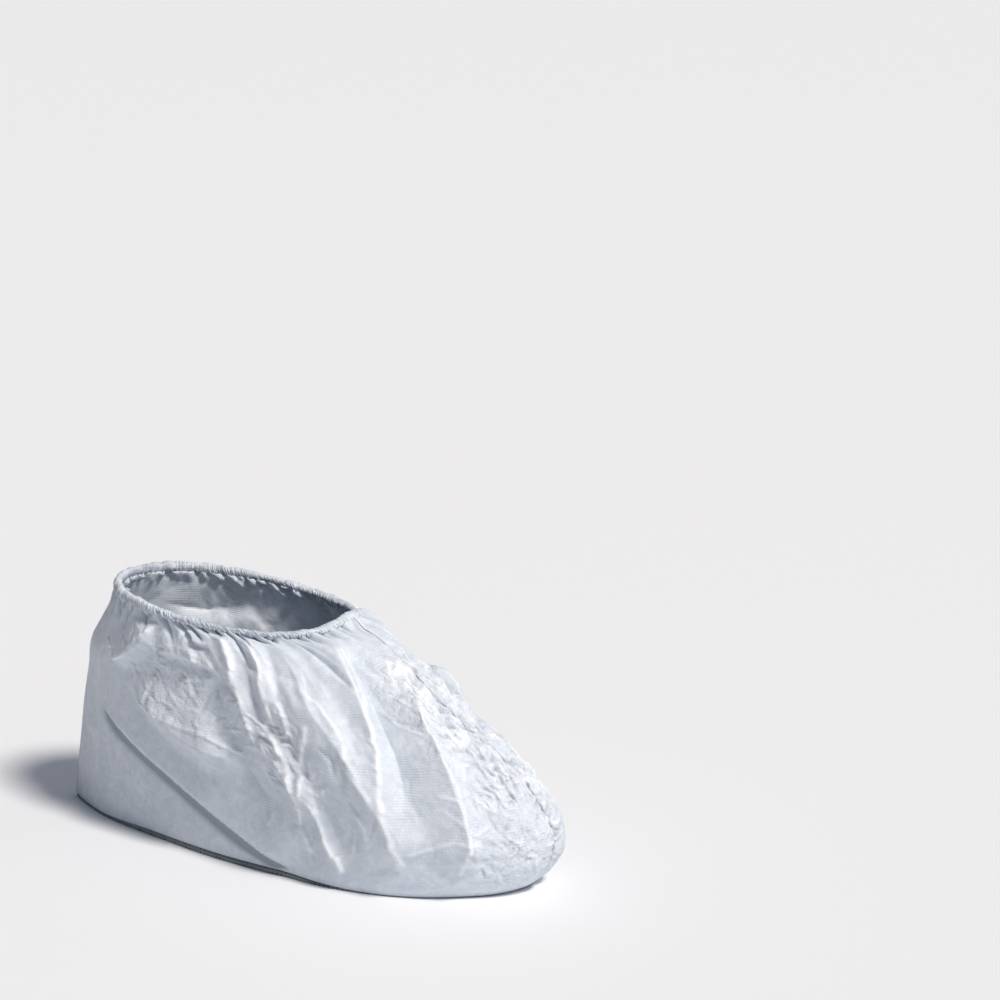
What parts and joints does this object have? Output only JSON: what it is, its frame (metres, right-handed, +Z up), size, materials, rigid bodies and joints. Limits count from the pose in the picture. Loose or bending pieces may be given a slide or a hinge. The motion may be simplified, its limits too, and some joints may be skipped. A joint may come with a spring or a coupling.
{
  "type": "shoe cover",
  "caption": "Disposable shoe cover as worn: sewn cloth sides folded and gathered round the foot, flat sole, centre seams and an elastic cuff round an open ankle.",
  "frame": {"origin": "on the floor, under the middle of the cover's bounding box", "axes": "+X from the heel to the toe, +Y towards the inner side, which faces the other foot, +Z up"},
  "size_m": [0.3314, 0.1328, 0.1531],
  "materials": {
    "nonwoven": "matt white nonwoven sheet with a faint bluish sheen",
    "sole_sheet": "matt mid grey, grip-coated nonwoven sheet",
    "gathered_nonwoven": "matt, tightly gathered",
    "seam_edge": "matt white overlocked thread"
  },
  "bodies": {
    "root": {"outer_side": "nonwoven", "inner_side": "nonwoven", "sole": "sole_sheet", "elastic_cuff": "gathered_nonwoven", "front_seam": "seam_edge", "heel_seam": "seam_edge"}
  },
  "joints": []
}
